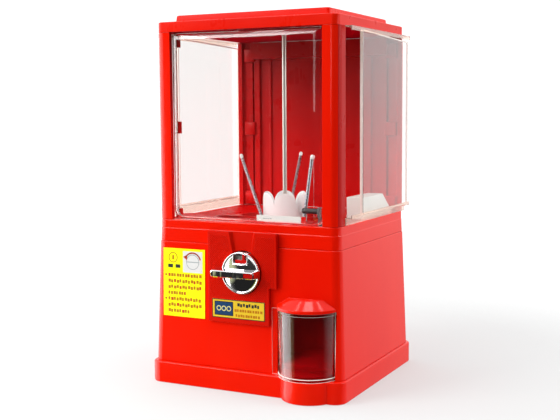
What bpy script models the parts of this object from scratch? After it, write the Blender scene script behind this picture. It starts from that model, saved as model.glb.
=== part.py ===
"""Table-top capsule vending machine, built as an assembly of separate parts.

Units are metres, +Z is up, and the coin dial faces -Y. The origin is the middle of the
base's underside. The parts of each moving body hang under an empty that stands on the
body's joint axis.
"""
import math

import bmesh
import bpy
from mathutils import Matrix, Vector

# ---------------------------------------------------------------- driving dimensions
GAP = 0.0003                                  # clearance between touching pieces
WALL = 0.0030                                 # moulded wall thickness

BODY_HALF_W, BODY_HALF_D = 0.1606, 0.1451     # window frame and top of the collar
FOOT_HALF_W, FOOT_HALF_D = 0.1682, 0.1512     # the same tapered line at the base
CABINET_STEP = 0.0008                         # the cabinet stands proud of the collar
CORNER_R = 0.0140

BASE_HALF_W, BASE_HALF_D, BASE_H = 0.1729, 0.1610, 0.0350
BASE_CORNER_R = 0.0200
CABINET_TOP_Z = 0.2337
COLLAR_STEP_Z = 0.2554
RIM_Z = 0.2695
LID_Z, LID_FLANGE_TOP_Z, TOP_Z = 0.5719, 0.5884, 0.6000
LID_HALF_W, LID_HALF_D = 0.1592, 0.1451
LID_CAP_INSET = 0.0220

POST_FRONT_LEG, POST_THICKNESS = 0.0266, 0.0080
POST_SIDE_LEG_FRONT, POST_SIDE_LEG_REAR = 0.0280, 0.0150

CHUTE_X, CHUTE_Y = 0.1090, -0.1380            # vertical axis of the round chute
BULGE_R = 0.0450
POCKET_R = 0.0445
FLAP_IN_R, FLAP_OUT_R, FLAP_RIM_R = 0.0462, 0.0482, 0.0493
FLAP_Z0, FLAP_Z1 = 0.0360, 0.1406
CHUTE_HOLE_R = 0.0503
HOOD_Z0, HOOD_LIP_Z, HOOD_Z1 = 0.1412, 0.1456, 0.1580

DIAL_Z = 0.1920                               # axis of the coin dial, along Y
DIAL_R = 0.0335
PLATE_FACE_Y = -0.1555
DIAL_FACE_Y = -0.1605

POCKETS = 6                                   # capsule pockets in the wheel
WHEEL_R, WHEEL_Z0, WHEEL_Z1 = 0.1210, 0.2425, 0.2620
PITCH_R, HOLE_R = 0.0820, 0.0365
DROP_ANGLE = math.radians(-33.4)              # the drop hole, seen from above
CROWN_R, CROWN_TIP_Z, CROWN_NOTCH_Z = 0.0373, 0.3080, 0.2860
LOBE_ANGLE = math.radians(-63.4)

GEAR_R, GEAR_TEETH, PINION_TEETH = 0.0445, 48, 8
GEAR_TOOTH_Z, GEAR_FACE_Z, GEAR_BACK_Z = 0.1976, 0.2013, 0.2053
PAWL_X, PAWL_Z = 0.0220, 0.2148               # the pawl's pivot, along Y
PAWL_Y0, PAWL_Y1 = -0.1120, -0.1070

WINDOW_T = 0.0020
FRONT_WINDOW_ROUND = 0.0125
SIDE_HALF_LEN = 0.1045
SIDE_Z0, SIDE_Z1, SIDE_FALL = 0.2825, 0.5690, 0.0070      # the top edge falls to the rear
SIDE_IN_X, SIDE_OUT_X = 0.1650, 0.1700
SIDE_SHIFT = 0.0345                           # both side windows stand part open
RAIL_Y0, RAIL_Y1 = -0.1190, 0.1430

DRAWER_X0, DRAWER_X1 = -0.1400, -0.0160
DRAWER_Z0, DRAWER_Z1 = 0.0400, 0.0980

MATERIALS = {
    # name: (red, green, blue), roughness, metallic, alpha
    "red_body": ((0.82, 0.02, 0.01), 0.28, 0.0, 1.0),
    "red_inner": ((0.45, 0.01, 0.01), 0.35, 0.0, 1.0),
    "clear": ((0.95, 0.97, 0.97), 0.05, 0.0, 0.25),
    "chrome": ((0.80, 0.80, 0.82), 0.10, 1.0, 1.0),
    "steel": ((0.55, 0.55, 0.56), 0.30, 1.0, 1.0),
    "white_plastic": ((0.85, 0.85, 0.83), 0.40, 0.0, 1.0),
    "grey_plastic": ((0.30, 0.30, 0.31), 0.45, 0.0, 1.0),
    "dark_rubber": ((0.04, 0.04, 0.045), 0.60, 0.0, 1.0),
    "yellow_label": ((0.95, 0.85, 0.02), 0.45, 0.0, 1.0),
}


# ---------------------------------------------------------------- scene and materials
def clear_scene():
    for obj in list(bpy.data.objects):
        bpy.data.objects.remove(obj, do_unlink=True)


def material(name):
    if name in bpy.data.materials:
        return bpy.data.materials[name]
    colour, roughness, metallic, alpha = MATERIALS[name]
    made = bpy.data.materials.new(name)
    made.use_nodes = True
    shader = made.node_tree.nodes["Principled BSDF"]
    shader.inputs["Base Color"].default_value = (*colour, 1.0)
    shader.inputs["Roughness"].default_value = roughness
    shader.inputs["Metallic"].default_value = metallic
    shader.inputs["Alpha"].default_value = alpha
    made.diffuse_color = (*colour, alpha)
    return made


def body(name, location=(0.0, 0.0, 0.0), parent=None):
    """An empty on a joint's axis, which carries the parts of one moving body."""
    empty = bpy.data.objects.new(name, None)
    bpy.context.collection.objects.link(empty)
    empty.parent = parent
    base = Vector(parent["world"]) if parent else Vector((0.0, 0.0, 0.0))
    empty.location = Vector(location) - base
    empty["world"] = list(location)
    return empty


def add(name, bm, finish, carrier=None, smooth_angle=35.0):
    """Turn a bmesh in world coordinates into an object carried by a body's empty."""
    bmesh.ops.remove_doubles(bm, verts=bm.verts, dist=1e-7)
    bmesh.ops.recalc_face_normals(bm, faces=bm.faces)
    mesh = bpy.data.meshes.new(name)
    bm.to_mesh(mesh)
    bm.free()
    if carrier:
        mesh.transform(Matrix.Translation(-Vector(carrier["world"])))
    mesh.shade_smooth()
    mesh.set_sharp_from_angle(angle=math.radians(smooth_angle))
    mesh.materials.append(material(finish))
    obj = bpy.data.objects.new(name, mesh)
    bpy.context.collection.objects.link(obj)
    obj.parent = carrier
    return obj


def combine(obj, bm, operation="DIFFERENCE"):
    """Cut a bmesh from an object, or join it on, with an exact Boolean."""
    guide = add(f"guide_{obj.name}_{len(obj.modifiers)}", bm, "grey_plastic", obj.parent)
    guide.hide_render = True
    guide.display_type = "WIRE"
    boolean = obj.modifiers.new(operation.title(), "BOOLEAN")
    boolean.operation = operation
    boolean.solver = "EXACT"
    boolean.object = guide
    return obj


def bevel(obj, width, segments=2):
    edge = obj.modifiers.new("Bevel", "BEVEL")
    edge.width = width
    edge.segments = segments
    edge.limit_method = "ANGLE"
    edge.angle_limit = math.radians(40.0)
    return obj


# ---------------------------------------------------------------- shape builders
def arc(centre, radius, start, end, steps):
    """Points on a circle in degrees, both ends included."""
    angles = [math.radians(start + (end - start) * i / steps) for i in range(steps + 1)]
    return [(centre[0] + radius * math.cos(a), centre[1] + radius * math.sin(a)) for a in angles]


def circle(radius, steps, centre=(0.0, 0.0)):
    return arc(centre, radius, 0.0, 360.0, steps)[:-1]


def rounded_rect(half_x, half_y, radius, steps=5, centre=(0.0, 0.0)):
    points = []
    for sign_x, sign_y, start in ((-1, -1, 180), (1, -1, 270), (1, 1, 0), (-1, 1, 90)):
        corner = (centre[0] + sign_x * (half_x - radius), centre[1] + sign_y * (half_y - radius))
        points += arc(corner, radius, start, start + 90, steps)
    return points


def rect(x0, x1, y0, y1):
    return [(x0, y0), (x1, y0), (x1, y1), (x0, y1)]


def at_z(points, z):
    return [(x, y, z) for x, y in points]


def at_y(points, y):
    return [(x, y, z) for x, z in points]


def at_x(points, x):
    return [(x, y, z) for y, z in points]


def loft(rings, loop=False, bm=None):
    """Skin a stack of rings with equal counts: capped at both ends, or closed as a loop."""
    bm = bm or bmesh.new()
    layers = [[bm.verts.new(point) for point in ring] for ring in rings]
    pairs = list(zip(layers, layers[1:]))
    if loop:
        pairs.append((layers[-1], layers[0]))
    for low, high in pairs:
        for i in range(len(low)):
            j = (i + 1) % len(low)
            bm.faces.new((low[i], low[j], high[j], high[i]))
    if not loop:
        bm.faces.new(layers[0])
        bm.faces.new(layers[-1])
    return bm


def prism(points, low, high, plane=at_z, bm=None):
    return loft([plane(points, low), plane(points, high)], bm=bm)


def box(x0, x1, y0, y1, z0, z1, bm=None):
    return prism(rect(x0, x1, y0, y1), z0, z1, bm=bm)


def turned(profile, steps, centre=(0.0, 0.0), plane=at_z, loop=False, bm=None):
    """A round piece from (radius, position along the axis) pairs."""
    return loft([plane(circle(r, steps, centre), level) for r, level in profile], loop, bm)


# ---------------------------------------------------------------- shared outlines
def taper(z):
    """Half width and half depth of the collar's line at a height, without the step."""
    t = (RIM_Z - z) / (RIM_Z - BASE_H)
    return (BODY_HALF_W + t * (FOOT_HALF_W - BODY_HALF_W),
            BODY_HALF_D + t * (FOOT_HALF_D - BODY_HALF_D))


def body_ring(z, inset):
    half_w, half_d = taper(z)
    return at_z(rounded_rect(half_w - inset, half_d - inset, max(CORNER_R - inset, 0.002)), z)


def wall_y(z):
    """Distance of the cabinet's outer front or rear face from the middle."""
    return taper(z)[1] + CABINET_STEP


def wall_plate(points, thickness, side):
    """A plate given in X and Z that lies against the sloping front (-1) or rear (+1)."""
    back = [(x, side * (wall_y(z) + GAP), z) for x, z in points]
    face = [(x, side * (wall_y(z) + GAP + thickness), z) for x, z in points]
    return loft([back, face])


def base_outline(inset):
    """The base's rounded rectangle with the round bulge that carries the chute."""
    half_w, half_d = BASE_HALF_W - inset, BASE_HALF_D - inset
    radius = BULGE_R - inset
    corner = max(BASE_CORNER_R - inset, 0.002)
    dip = math.degrees(math.asin((-half_d - CHUTE_Y) / radius))
    low, high = -half_d + corner, half_d - corner
    return (arc((-half_w + corner, low), corner, 180, 270, 5)
            + arc((CHUTE_X, CHUTE_Y), radius, 180 - dip, 360 + dip, 18)
            + arc((half_w - corner, low), corner, 270, 360, 5)
            + arc((half_w - corner, high), corner, 0, 90, 5)
            + arc((-half_w + corner, high), corner, 90, 180, 5))


# ---------------------------------------------------------------- base and cabinet
def base():
    rings = [(0.0010, 0.0), (0.0, 0.0010), (0.0, 0.0325), (0.0008, 0.0343), (0.0030, BASE_H),
             (0.0180, BASE_H), (0.0180, BASE_H - WALL), (WALL, BASE_H - WALL), (WALL, 0.0)]
    add("base_skirt", loft([at_z(base_outline(inset), z) for inset, z in rings], True),
        "red_body")
    add("bottom_plate", prism(base_outline(WALL + 0.0004), 0.0, 0.0030), "grey_plastic")


def lower_cabinet():
    z0, z1 = BASE_H + GAP, CABINET_TOP_Z
    step, inner = -CABINET_STEP, WALL - CABINET_STEP
    rings = [body_ring(z0, step), body_ring(z1 - 0.0008, step), body_ring(z1, step + 0.0008),
             body_ring(z1, inner), body_ring(z0, inner)]
    cabinet = add("lower_cabinet", loft(rings, True), "red_body")
    holes = prism(circle(CHUTE_HOLE_R, 48, (CHUTE_X, CHUTE_Y)), 0.020, HOOD_Z0 - GAP)
    turned([(0.0370, -0.170), (0.0370, -0.130)], 40, (0.0, DIAL_Z), at_y, bm=holes)
    box(DRAWER_X0 - 0.003, DRAWER_X1 + 0.003, 0.130, 0.170, 0.0385, 0.1010, holes)
    box(-0.054, 0.054, 0.130, 0.170, 0.1250, 0.2050, holes)
    for x in (-0.062, 0.062):
        turned([(0.0023, 0.140), (0.0023, 0.160)], 16, (x, 0.165), at_y, bm=holes)
    combine(cabinet, holes)


def rear_fittings():
    hatch = wall_plate(rounded_rect(0.070, 0.050, 0.006, 3, (0.0, 0.165)), 0.0025, 1)
    hatch = add("rear_hatch", hatch, "red_body")
    holes = bmesh.new()
    for side, x in (("left", -0.062), ("right", 0.062)):
        z = 0.165
        y = wall_y(z)
        turned([(0.0023, y - 0.002), (0.0023, y + 0.006)], 16, (x, z), at_y, bm=holes)
        head = [(0.0020, y - 0.0028), (0.0020, y + 0.0033), (0.0042, y + 0.0033),
                (0.0042, y + 0.0046), (0.0030, y + 0.0054)]
        add(f"hatch_screw_{side}", turned(head, 16, (x, z), at_y), "steel")
    combine(hatch, holes)


# ---------------------------------------------------------------- hopper
def hopper():
    rings = [(0.2340, 0.0), (COLLAR_STEP_Z, 0.0), (COLLAR_STEP_Z + 0.0006, 0.0005),
             (RIM_Z - 0.0010, 0.0), (RIM_Z, 0.0010), (RIM_Z, 0.0090), (0.2380, 0.0060),
             (0.2380, 0.0160), (0.2340, 0.0160)]
    add("hopper_collar", loft([body_ring(z, inset) for z, inset in rings], True), "red_body")

    half_w, half_d = taper(0.240)
    plate = rounded_rect(half_w - 0.0078, half_d - 0.0078, 0.005, 3)
    floor = add("hopper_floor", prism(plate, 0.2383, 0.2413), "red_inner")
    drop = (PITCH_R * math.cos(DROP_ANGLE), PITCH_R * math.sin(DROP_ANGLE))
    holes = prism(circle(0.0375, 36, drop), 0.230, 0.250)
    prism(circle(0.0115, 24), 0.230, 0.250, bm=holes)
    combine(floor, holes)

    outer_w, outer_d, throat = BODY_HALF_W - 0.0095, BODY_HALF_D - 0.0095, WHEEL_R + 0.0015
    rings = [funnel_ring(outer_w, outer_d, 0.2662), funnel_ring(outer_w, outer_d, 0.2685),
             at_z(circle(throat, 64), 0.2550), at_z(circle(throat, 64), 0.2527)]
    add("hopper_funnel", loft(rings, True), "red_body")

    outer = [(-0.0220, 0.2690), (0.1140, 0.2690), (0.0660, 0.3050), (-0.0220, 0.3050)]
    inner = [(-0.0200, 0.2600), (0.1227, 0.2600), (0.0654, 0.3030), (-0.0200, 0.3030)]
    guide = add("side_guide", loft([at_x(outer, x) for x in (0.1220, 0.1505)]), "white_plastic")
    bevel(guide, 0.0015)
    combine(guide, loft([at_x(inner, x) for x in (0.1240, 0.1485)]))

    roller = [(0.0025, 0.0728), (0.0045, 0.0740), (0.0045, 0.1040)]
    add("wiper_roller", turned(roller, 20, (-0.0850, 0.2865), at_x), "dark_rubber")
    add("wiper_bracket", box(0.1043, 0.1100, -0.0930, -0.0770, 0.2610, 0.2930), "grey_plastic")


def funnel_ring(half_x, half_y, z, steps=64):
    """A rectangle sampled at the same angles as a circle, so the two can be joined."""
    points = []
    for i in range(steps):
        a = 2.0 * math.pi * i / steps
        reach = 1.0 / max(abs(math.cos(a)) / half_x, abs(math.sin(a)) / half_y)
        points.append((reach * math.cos(a), reach * math.sin(a), z))
    return points


# ---------------------------------------------------------------- window frame
def posts():
    for side, across in (("left", -1), ("right", 1)):
        for end, along, leg in (("front", -1, POST_SIDE_LEG_FRONT),
                                ("rear", 1, POST_SIDE_LEG_REAR)):
            x, y, t = BODY_HALF_W, BODY_HALF_D, POST_THICKNESS
            leg_x, leg_y = x - POST_FRONT_LEG, y - leg
            outline = ([(leg_x, y)] + arc((x - CORNER_R, y - CORNER_R), CORNER_R, 90, 0, 7)
                       + [(x, leg_y), (x - t, leg_y)]
                       + arc((x - t - 0.006, y - t - 0.006), 0.006, 0, 90, 3)
                       + [(leg_x, y - t)])
            outline = [(across * px, along * py) for px, py in outline]
            add(f"post_{end}_{side}", prism(outline, RIM_Z + GAP, LID_Z - GAP), "red_body")


def rear_wall():
    ribs = ((-0.1245, 0.0055, 0.005), (-0.0980, 0.0020, 0.003), (0.0980, 0.0020, 0.003),
            (0.1245, 0.0055, 0.005))
    face_y, back_y, half = 0.1415, 0.1445, BODY_HALF_W - POST_FRONT_LEG - GAP
    outline = [(half, back_y), (-half, back_y), (-half, face_y)]
    for x, half_rib, depth in ribs:
        outline += [(x - half_rib - 0.001, face_y), (x - half_rib, face_y - depth),
                    (x + half_rib, face_y - depth), (x + half_rib + 0.001, face_y)]
    outline.append((half, face_y))
    wall = add("rear_wall", prism(outline, RIM_Z + GAP, LID_Z - GAP), "red_inner")
    combine(wall, box(-half + 0.001, half - 0.001, 0.1270, 0.1430, 0.5405, 0.5700), "UNION")


# ---------------------------------------------------------------- windows
def tray(outline, plane, open_level, face_level, round_off, steps=4):
    """A clear cover: a face with a flange all round, open at the back."""
    side = math.copysign(1.0, open_level - face_level)
    rings = []
    for start, radius in ((WINDOW_T, max(round_off - WINDOW_T, 0.0003)), (0.0, round_off)):
        turn = [math.pi / 2 * i / steps for i in range(steps + 1)]
        bend = [plane(outline(start + radius * (1.0 - math.sin(a))),
                      face_level + side * (start + radius * (1.0 - math.cos(a)))) for a in turn]
        wall = plane(outline(start), open_level)
        rings += bend + [wall] if start else [wall] + bend[::-1]
    return loft(rings)


def front_window():
    def outline(inset):
        half, low, high = 0.1332 - inset, RIM_Z + 0.0004 + inset, LID_Z - 0.0006 - inset
        r_low, r_high = 0.0150 - inset, max(0.0040 - inset, 0.0005)
        return (arc((-half + r_low, low + r_low), r_low, 180, 270, 6)
                + arc((half - r_low, low + r_low), r_low, 270, 360, 6)
                + arc((half - r_high, high - r_high), r_high, 0, 90, 3)
                + arc((-half + r_high, high - r_high), r_high, 90, 180, 3))
    add("front_window", tray(outline, at_y, -0.1290, -0.1468, FRONT_WINDOW_ROUND, 6), "clear")

    for side, across in (("left", -1), ("right", 1)):
        stem, tab, points = 0.1372, 0.1275, []
        for z, half in ((0.2800, 0.0065), (0.4190, 0.0097), (0.5580, 0.0098)):
            points += [(0.1345, z - half), (tab, z - half), (tab, z + half), (0.1345, z + half)]
        points = [(0.1345, 0.2710)] + points + [(0.1345, 0.5705), (stem, 0.5705), (stem, 0.2710)]
        points = [(across * x, z) for x, z in points]
        add(f"window_clip_{side}", prism(points, -0.1285, -0.1215, at_y), "red_inner")


def side_windows(left, right):
    def outline(inset):
        half_y, half_z = SIDE_HALF_LEN - inset, (SIDE_Z1 - SIDE_Z0) / 2 - inset
        middle = (SIDE_SHIFT, (SIDE_Z0 + SIDE_Z1) / 2)
        points = rounded_rect(half_y, half_z, max(0.0040 - inset, 0.0008), 3, middle)
        return [(y, z - SIDE_FALL * (z - SIDE_Z0) / (SIDE_Z1 - SIDE_Z0)
                 * (y - SIDE_SHIFT + SIDE_HALF_LEN) / (2 * SIDE_HALF_LEN)) for y, z in points]
    for name, side, carrier in (("left_window", -1, left), ("right_window", 1, right)):
        add(name, tray(outline, at_x, side * SIDE_IN_X, side * SIDE_OUT_X, 0.0010, 2), "clear",
            carrier)


def rails():
    """Clear runners that hold each side window's edge on the outside of the posts."""
    web, shelf, lip, end = 0.1609, 0.1624, 0.1704, 0.1718
    low = [(web, 0.2700), (shelf, 0.2700), (shelf, 0.2803), (end, 0.2803), (end, 0.2860),
           (lip, 0.2860), (lip, 0.2820), (web, 0.2820)]
    high = [(web, LID_Z - GAP), (web, 0.5696), (lip, 0.5696), (lip, 0.5650), (end, 0.5650),
            (end, LID_Z - GAP)]
    for side, across in (("left", -1), ("right", 1)):
        for level, outline in (("lower", low), ("upper", high)):
            points = [(across * x, z) for x, z in outline]
            add(f"rail_{side}_{level}", prism(points, RAIL_Y0, RAIL_Y1, at_y), "clear")


# ---------------------------------------------------------------- lid
def lid(carrier, plug_carrier):
    w, d = LID_HALF_W, LID_HALF_D
    cap_w, cap_d = w - LID_CAP_INSET, d - LID_CAP_INSET
    rings = [(cap_w - 0.0040, cap_d - 0.0040, 0.5945, 0.004),
             (cap_w - 0.0040, cap_d - 0.0040, 0.5850, 0.004),
             (w - WALL, d - WALL, 0.5850, 0.009), (w - WALL, d - WALL, LID_Z, 0.009),
             (w, d, LID_Z, 0.011), (w, d, 0.5868, 0.011), (w - 0.0006, d - 0.0006, 0.5879, 0.011),
             (w - 0.0020, d - 0.0020, LID_FLANGE_TOP_Z, 0.010),
             (cap_w, cap_d, LID_FLANGE_TOP_Z, 0.005),
             (cap_w - 0.0010, cap_d - 0.0010, 0.5980, 0.005),
             (cap_w - 0.0018, cap_d - 0.0018, 0.5995, 0.005),
             (cap_w - 0.0035, cap_d - 0.0035, TOP_Z, 0.004)]
    rings = [at_z(rounded_rect(hw, hd, r), z) for hw, hd, z, r in rings]
    cover = add("lid", loft(rings), "red_body", carrier)
    recess = turned([(0.0165, 0.610), (0.0165, 0.5975), (0.0123, 0.5975), (0.0123, 0.570)], 32)
    combine(cover, recess)
    liner = [at_z(rounded_rect(w - 0.0035, d - 0.0035, 0.012), z) for z in (0.5722, 0.5752)]
    liner = add("lid_liner", loft(liner), "red_inner", carrier)
    combine(liner, prism(circle(0.0048, 16), 0.570, 0.580))
    housing = [(0.0073, 0.5780), (0.0120, 0.5780), (0.0120, 0.5978), (0.0150, 0.5978),
               (0.0150, 0.5990), (0.0143, 0.5996), (0.0073, 0.5996)]
    add("lid_lock_housing", turned(housing, 28, loop=True), "chrome", carrier)
    plug = add("lid_lock_plug", turned([(0.0070, 0.5800), (0.0070, 0.5993)], 24), "steel",
               plug_carrier)
    combine(plug, box(-0.0007, 0.0007, -0.0040, 0.0040, 0.5950, 0.6010))


def centre_rod():
    add("centre_rod", turned([(0.0035, 0.0033), (0.0035, 0.5755)], 16), "steel")


# ---------------------------------------------------------------- capsule wheel
def capsule_wheel(carrier):
    wheel = add("capsule_wheel", turned([(WHEEL_R, WHEEL_Z0), (WHEEL_R, WHEEL_Z1 - 0.001),
                                         (WHEEL_R - 0.001, WHEEL_Z1)], 64), "red_body", carrier)
    holes = prism(circle(0.0045, 16), 0.230, 0.280)
    for k in range(POCKETS):
        a = DROP_ANGLE + 2.0 * math.pi * k / POCKETS
        centre = (PITCH_R * math.cos(a), PITCH_R * math.sin(a))
        prism(circle(HOLE_R, 28, centre), 0.230, 0.280, bm=holes)
    combine(wheel, holes)
    hub_crown(carrier)
    agitators(carrier)
    drive_gear(carrier)


def hub_crown(carrier, steps=60):
    """A thin white cup round the rod whose edge is cut into rounded petals."""
    def petal_ring(radius, z_low=None):
        points = []
        for i in range(steps):
            a = 2.0 * math.pi * i / steps
            across = (a - LOBE_ANGLE + math.pi / POCKETS) % (2.0 * math.pi / POCKETS)
            u = across / (math.pi / POCKETS) - 1.0
            rise = math.sqrt(max(0.0, 1.0 - abs(u) ** 2.2))
            z = z_low or CROWN_NOTCH_Z + (CROWN_TIP_Z - CROWN_NOTCH_Z) * rise
            points.append((radius * math.cos(a), radius * math.sin(a), z))
        return points
    floor, top = WHEEL_Z1 + GAP, WHEEL_Z1 + 0.0023
    rings = [petal_ring(CROWN_R, floor), petal_ring(CROWN_R), petal_ring(CROWN_R - 0.0015),
             petal_ring(CROWN_R - 0.0015, top), petal_ring(0.0045, top), petal_ring(0.0045, floor)]
    add("hub_crown", loft(rings, True), "white_plastic", carrier)


def agitators(carrier, sides=10):
    """Three sprung rods that lean outwards and stir the capsules."""
    foot_r, tip_r, tip_z, thick = 0.0406, 0.0748, 0.3735, 0.0030
    for k in range(3):
        turn = 120.0 * k
        foot = Vector((*arc((0, 0), foot_r, 228.2 + turn, 0, 1)[0], WHEEL_Z1 + GAP))
        tip = Vector((*arc((0, 0), tip_r, 213.3 + turn, 0, 1)[0], tip_z))
        rings = []
        for along, width in ((0.0, 1.0), (0.965, 1.0), (0.99, 0.8), (1.0, 0.4)):
            middle = foot.lerp(tip, along)
            rings.append(at_z(circle(thick * width, sides, middle.to_2d()), middle.z))
        add(f"agitator_spring_{k + 1}", loft(rings), "steel", carrier)


def drive_gear(carrier):
    """The crown gear under the hopper floor and its sleeve up to the wheel."""
    bore, sleeve, tooth_length, half_tooth = 0.0045, 0.0100, 0.0067, 0.0009
    profile = [(bore, GEAR_FACE_Z), (GEAR_R, GEAR_FACE_Z), (GEAR_R, GEAR_BACK_Z),
               (sleeve, GEAR_BACK_Z), (sleeve, WHEEL_Z0 - GAP), (bore, WHEEL_Z0 - GAP)]
    gear = add("drive_gear", turned(profile, 48, loop=True), "white_plastic", carrier)
    teeth = bmesh.new()
    corners = rect(GEAR_R - tooth_length, GEAR_R - 0.0002, -half_tooth, half_tooth)
    for k in range(GEAR_TEETH):
        turn = Matrix.Rotation(2.0 * math.pi * k / GEAR_TEETH, 3, "Z")
        loft([[turn @ Vector((x, y, z)) for x, y in corners]
              for z in (GEAR_TOOTH_Z, GEAR_FACE_Z + 0.0004)], bm=teeth)
    combine(gear, teeth, "UNION")


# ---------------------------------------------------------------- coin mechanism
def coin_plate():
    outline = [(-0.0620, 0.1100), (0.0475, 0.1100), (0.0475, 0.1700), (0.0605, 0.1700),
               (0.0605, 0.2560), (-0.0620, 0.2560)]
    back = [(x, -(wall_y(z) + GAP), z) for x, z in outline]
    plate = add("coin_plate", loft([back, at_y(outline, PLATE_FACE_Y)]), "red_body")
    bevel(plate, 0.0010)
    cut = turned([(DIAL_R + 0.0012, -0.175), (DIAL_R + 0.0012, -0.135)], 48, (0.0, DIAL_Z), at_y)
    combine(plate, cut)
    mouth = [(-0.0165, 0.2215), (0.0165, 0.2215), (0.0240, 0.2580), (-0.0240, 0.2580)]
    throat = [(-0.0140, 0.2215), (0.0140, 0.2215), (0.0190, 0.2580), (-0.0190, 0.2580)]
    combine(plate, loft([at_y(mouth, PLATE_FACE_Y - 0.0005), at_y(throat, -0.1508)]))


def dial(carrier):
    centre = (0.0, DIAL_Z)
    profile = [(DIAL_R, -0.1500), (DIAL_R, -0.1592), (DIAL_R - 0.0008, DIAL_FACE_Y),
               (DIAL_R - 0.0022, DIAL_FACE_Y), (DIAL_R - 0.0028, DIAL_FACE_Y + 0.0009)]
    disc = add("coin_dial", turned(profile, 48, centre, at_y), "chrome", carrier)
    slot = (arc((-0.0088, 0.2105), 0.004, 180, 270, 4) + arc((0.0088, 0.2105), 0.004, 270, 360, 4)
            + [(0.0128, 0.2300), (-0.0128, 0.2300)])
    combine(disc, prism(slot, -0.1640, -0.1545, at_y))

    insert = [(-0.0102, 0.2072), (0.0102, 0.2072), (0.0102, 0.2125), (0.0065, 0.2125),
              (0.0065, 0.2230), (0.0030, 0.2230), (0.0030, 0.2125), (-0.0102, 0.2125)]
    add("coin_slot_insert", prism(insert, -0.1592, -0.1548, at_y), "red_body", carrier)

    bar = []
    for y, half_x, half_z in ((DIAL_FACE_Y - GAP, 0.0395, 0.0072), (-0.1660, 0.0393, 0.0064),
                              (-0.1770, 0.0389, 0.0055), (-0.1785, 0.0375, 0.0042)):
        bar.append(at_y(rounded_rect(half_x, half_z, 0.0040, 4, (-0.0060, 0.1915)), y))
    handle = add("dial_handle", loft(bar), "chrome", carrier)
    combine(handle, box(0.0145, 0.0310, -0.1800, -0.1700, 0.1876, 0.1954))
    wedge = [(0.0148, -0.1703), (0.0307, -0.1703), (0.0307, -0.1735), (0.0148, -0.1778)]
    add("handle_insert", prism(wedge, 0.1879, 0.1951), "red_body", carrier)

    disc = [(0.0330, -0.1497), (0.0330, -0.1430)]
    coin_carrier = add("coin_carrier", turned(disc, 40, centre, at_y), "white_plastic", carrier)
    combine(coin_carrier, box(-0.0136, 0.0136, -0.1500, -0.1465, 0.2060, 0.2300))
    add("dial_shaft", turned([(0.0040, -0.1427), (0.0040, -0.0465)], 16, centre, at_y), "steel",
        carrier)
    add("drive_pinion", prism(pinion_outline(), -0.0462, -0.0378, at_y), "white_plastic", carrier)
    ratchet = add("ratchet_wheel", prism(ratchet_outline(), PAWL_Y0, PAWL_Y1, at_y), "steel",
                  carrier)
    combine(ratchet, turned([(0.0043, -0.115), (0.0043, -0.104)], 16, centre, at_y))


def pinion_outline():
    root, tip, points = 0.0052, 0.0084, []
    pitch = 360.0 / PINION_TEETH
    for k in range(PINION_TEETH):
        middle = 90.0 + pitch / 2 + pitch * k
        for radius, off in ((root, -9.0), (tip, -5.5), (tip, 5.5), (root, 9.0)):
            points += arc((0.0, DIAL_Z), radius, middle + off, 0, 1)[:1]
    return points


def ratchet_outline(teeth=12):
    points = []
    for k in range(teeth):
        start = 360.0 * k / teeth
        points += arc((0.0, DIAL_Z), 0.0160, start, 0, 1)[:1]
        points += arc((0.0, DIAL_Z), 0.0128, start + 2.0, 0, 1)[:1]
    return points


def pawl(carrier):
    lever = [(0.0060, 0.2084), (0.0180, 0.2100), (0.0262, 0.2110), (0.0262, 0.2185),
             (0.0180, 0.2185), (0.0060, 0.2108)]
    pivot = (PAWL_X, PAWL_Z)
    finger = add("ratchet_pawl", prism(lever, PAWL_Y0, PAWL_Y1, at_y), "steel", carrier)
    combine(finger, turned([(0.0023, -0.115), (0.0023, -0.104)], 16, pivot, at_y))
    add("pawl_pin", turned([(0.0020, -0.1240), (0.0020, -0.0873)], 16, pivot, at_y), "steel")
    coil = []
    turns, per_turn, radius, wire = 4, 12, 0.0033, 0.0004
    for i in range(turns * per_turn + 1):
        a = 2.0 * math.pi * i / per_turn
        y = -0.1190 + 0.0011 * i / per_turn
        out = Vector((math.cos(a), 0.0, math.sin(a)))
        middle = Vector((pivot[0], y, pivot[1])) + radius * out
        coil.append([middle + wire * (math.cos(b) * out + math.sin(b) * Vector((0, 1, 0)))
                     for b in (2.0 * math.pi * k / 6 for k in range(6))])
    add("pawl_spring", loft(coil), "steel")


def mechanism_housing():
    housing = add("mech_housing", box(-0.040, 0.040, -0.1432, -0.0850, 0.1480, 0.2325),
                  "grey_plastic")
    inside = box(-0.038, 0.038, -0.1600, -0.0870, 0.1400, 0.2305)
    combine(housing, inside)
    combine(housing, turned([(0.0046, -0.095), (0.0046, -0.080)], 16, (0.0, DIAL_Z), at_y))
    start, end = (-0.002, -0.116, 0.1430), (-0.050, -0.096, 0.1080)
    rings = []
    for x, y, z in (start, end):
        rings.append([(x, y - 0.0165, z + 0.014), (x, y - 0.0150, z + 0.014),
                      (x, y - 0.0150, z + 0.0015), (x, y + 0.0150, z + 0.0015),
                      (x, y + 0.0150, z + 0.014), (x, y + 0.0165, z + 0.014),
                      (x, y + 0.0165, z), (x, y - 0.0165, z)])
    add("coin_guide", loft(rings), "white_plastic")


def labels():
    price = rect(-0.0540, 0.0405, 0.1175, 0.1475)
    add("price_label", prism(price, PLATE_FACE_Y - GAP, PLATE_FACE_Y - GAP - 0.0004, at_y),
        "yellow_label")
    add("caution_label", wall_plate(rect(-0.1505, -0.0715, 0.1110, 0.2230), 0.0004, -1),
        "yellow_label")


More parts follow.
